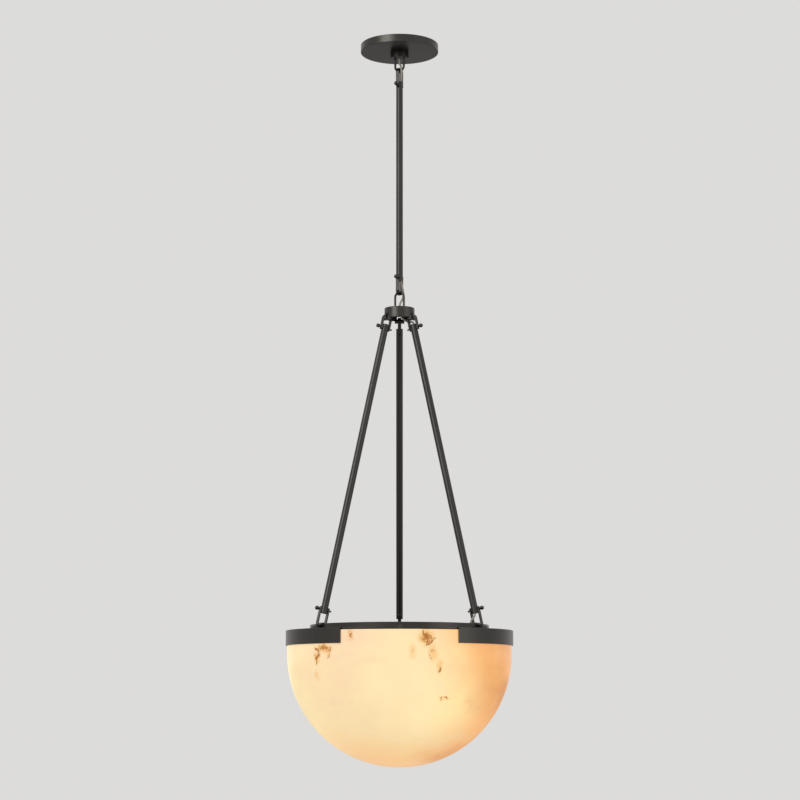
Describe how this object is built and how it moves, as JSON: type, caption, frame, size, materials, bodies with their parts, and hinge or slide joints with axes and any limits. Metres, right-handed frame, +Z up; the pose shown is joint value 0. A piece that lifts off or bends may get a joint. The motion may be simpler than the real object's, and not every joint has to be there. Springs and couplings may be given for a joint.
{
  "type": "alabaster bowl pendant light",
  "caption": "Ceiling pendant with a round canopy, hook links, stem, hub, slanted rods and a metal crown holding a veined alabaster bowl around hidden lamps.",
  "frame": {"origin": "centre of the ceiling plane that the canopy's rim and the crossbar close against, on the stem's axis", "axes": "+Z up, the pendant hangs along -Z; the leg behind the stem lies along +Y and the pictured front faces -Y"},
  "size_m": [0.4572, 0.454, 1.4904],
  "materials": {
    "dark_bronze": "satin dark bronze on metal, fine brushed grain",
    "zinc_steel": "zinc plated, satin",
    "earth_green": "green passivated screw",
    "black_rubber": "matt black rubber",
    "lead_jacket": "clear flexible jacket over tinned wire",
    "alabaster": "polished translucent alabaster with brown veins",
    "frosted_glass": "frosted inside, lit warm",
    "lamp_cap": "bright screw cap",
    "socket_black": "moulded black socket shell"
  },
  "bodies": {
    "canopy": {"canopy": "dark_bronze", "ceiling_crossbar": "zinc_steel", "hanger_nipple": "zinc_steel", "nipple_locknut": "zinc_steel", "ground_screw": "earth_green", "loop_collar": "dark_bronze", "canopy_loop": "dark_bronze", "lead_canopy": "lead_jacket"},
    "upper_link": {"upper_shackle": "dark_bronze", "upper_pin": "dark_bronze", "lead_upper": "lead_jacket"},
    "stem": {"stem_tube": "dark_bronze", "stem_plugs": "zinc_steel", "lead_stem": "lead_jacket"},
    "lower_link": {"lower_shackle": "dark_bronze", "lower_pin": "dark_bronze", "lead_lower": "lead_jacket"},
    "hub": {"hub_cup": "dark_bronze", "hub_grommet": "black_rubber", "hub_loop": "dark_bronze", "left_bail": "dark_bronze", "right_bail": "dark_bronze", "back_bail": "dark_bronze", "bail_pins": "dark_bronze", "lead_hub": "lead_jacket"},
    "left_leg": {"left_rod": "dark_bronze", "left_rod_plugs": "zinc_steel"},
    "right_leg": {"right_rod": "dark_bronze", "right_rod_plugs": "zinc_steel", "lead_rod": "lead_jacket"},
    "back_leg": {"back_rod": "dark_bronze", "back_rod_plugs": "zinc_steel"},
    "left_foot": {"left_foot_shackle": "dark_bronze", "left_foot_pin": "dark_bronze"},
    "right_foot": {"right_foot_shackle": "dark_bronze", "right_foot_pin": "dark_bronze"},
    "back_foot": {"back_foot_shackle": "dark_bronze", "back_foot_pin": "dark_bronze"},
    "crown": {"crown_disc": "dark_bronze", "rim_plate": "dark_bronze", "rim_gasket": "black_rubber", "crown_screws": "dark_bronze", "bowl_brackets": "zinc_steel", "bracket_dowels": "zinc_steel", "bracket_bolts": "dark_bronze", "alabaster_bowl": "alabaster", "lamp_stem": "zinc_steel", "lamp_stem_nuts": "zinc_steel", "cluster_body": "dark_bronze", "cluster_cover": "dark_bronze", "socket_arms": "zinc_steel", "sockets": "socket_black", "bulb_caps": "lamp_cap", "bulb_globes": "frosted_glass", "crown_grommet": "black_rubber", "lead_foot": "lead_jacket", "lead_crown": "lead_jacket"}
  },
  "joints": [
    {"name": "upper_link_swing", "type": "hinge", "parent": "canopy", "child": "upper_link", "pos_m": [0, 0, -0.05525], "axis": [0.9018, -0.4321, 0], "range_deg": [-30, 30], "deforming": ["lead_upper"]},
    {"name": "stem_swing", "type": "hinge", "parent": "upper_link", "child": "stem", "pos_m": [0, 0, -0.08585], "axis": [0.4321, 0.9018, 0], "range_deg": [-30, 30], "deforming": ["lead_upper"]},
    {"name": "lower_shackle_swing", "type": "hinge", "parent": "stem", "child": "lower_link", "pos_m": [0, 0, -0.49535], "axis": [0.4321, 0.9018, 0], "range_deg": [-30, 30], "deforming": ["lead_lower"]},
    {"name": "hub_link_swing", "type": "hinge", "parent": "lower_link", "child": "hub", "pos_m": [0, 0, -0.52594], "axis": [0.9018, -0.4321, 0], "range_deg": [-30, 30], "deforming": ["lead_lower"]},
    {"name": "crown_twist", "type": "hinge", "parent": "hub", "child": "crown", "pos_m": [0, 0, -0.58169], "axis": [0, 0, 1], "range_deg": [-5, 5], "deforming": ["lead_foot"]},
    {"name": "back_rod_swing", "type": "hinge", "parent": "hub", "child": "back_leg", "pos_m": [0, 0.03414, -0.60329], "axis": [0, 0.9728, 0.2315], "range_deg": [-1.7, 1.7]},
    {"name": "back_foot_swing", "type": "hinge", "parent": "back_leg", "child": "back_foot", "pos_m": [0, 0.17164, -1.18116], "axis": [0, 0.9728, 0.2315], "range_deg": [-1.7, 1.7]},
    {"name": "left_rod_swing", "type": "hinge", "parent": "hub", "child": "left_leg", "pos_m": [-0.02957, -0.01707, -0.60329], "axis": [-0.8425, -0.4864, 0.2315], "range_deg": [-1.7, 1.7]},
    {"name": "left_foot_swing", "type": "hinge", "parent": "left_leg", "child": "left_foot", "pos_m": [-0.14864, -0.08582, -1.18116], "axis": [-0.8425, -0.4864, 0.2315], "range_deg": [-1.7, 1.7]},
    {"name": "right_rod_swing", "type": "hinge", "parent": "hub", "child": "right_leg", "pos_m": [0.02957, -0.01707, -0.60329], "axis": [0.8425, -0.4864, 0.2315], "range_deg": [-1.7, 1.7], "deforming": ["lead_hub", "lead_foot"]},
    {"name": "right_foot_swing", "type": "hinge", "parent": "right_leg", "child": "right_foot", "pos_m": [0.14864, -0.08582, -1.18116], "axis": [0.8425, -0.4864, 0.2315], "range_deg": [-1.7, 1.7], "deforming": ["lead_foot"]}
  ],
  "couplings": [
    {"joint": "back_rod_swing", "follows": "crown_twist", "ratio": 0.30084},
    {"joint": "back_foot_swing", "follows": "crown_twist", "ratio": -0.30084},
    {"joint": "left_rod_swing", "follows": "crown_twist", "ratio": 0.30084},
    {"joint": "left_foot_swing", "follows": "crown_twist", "ratio": -0.30084},
    {"joint": "right_rod_swing", "follows": "crown_twist", "ratio": 0.30084},
    {"joint": "right_foot_swing", "follows": "crown_twist", "ratio": -0.30084}
  ]
}
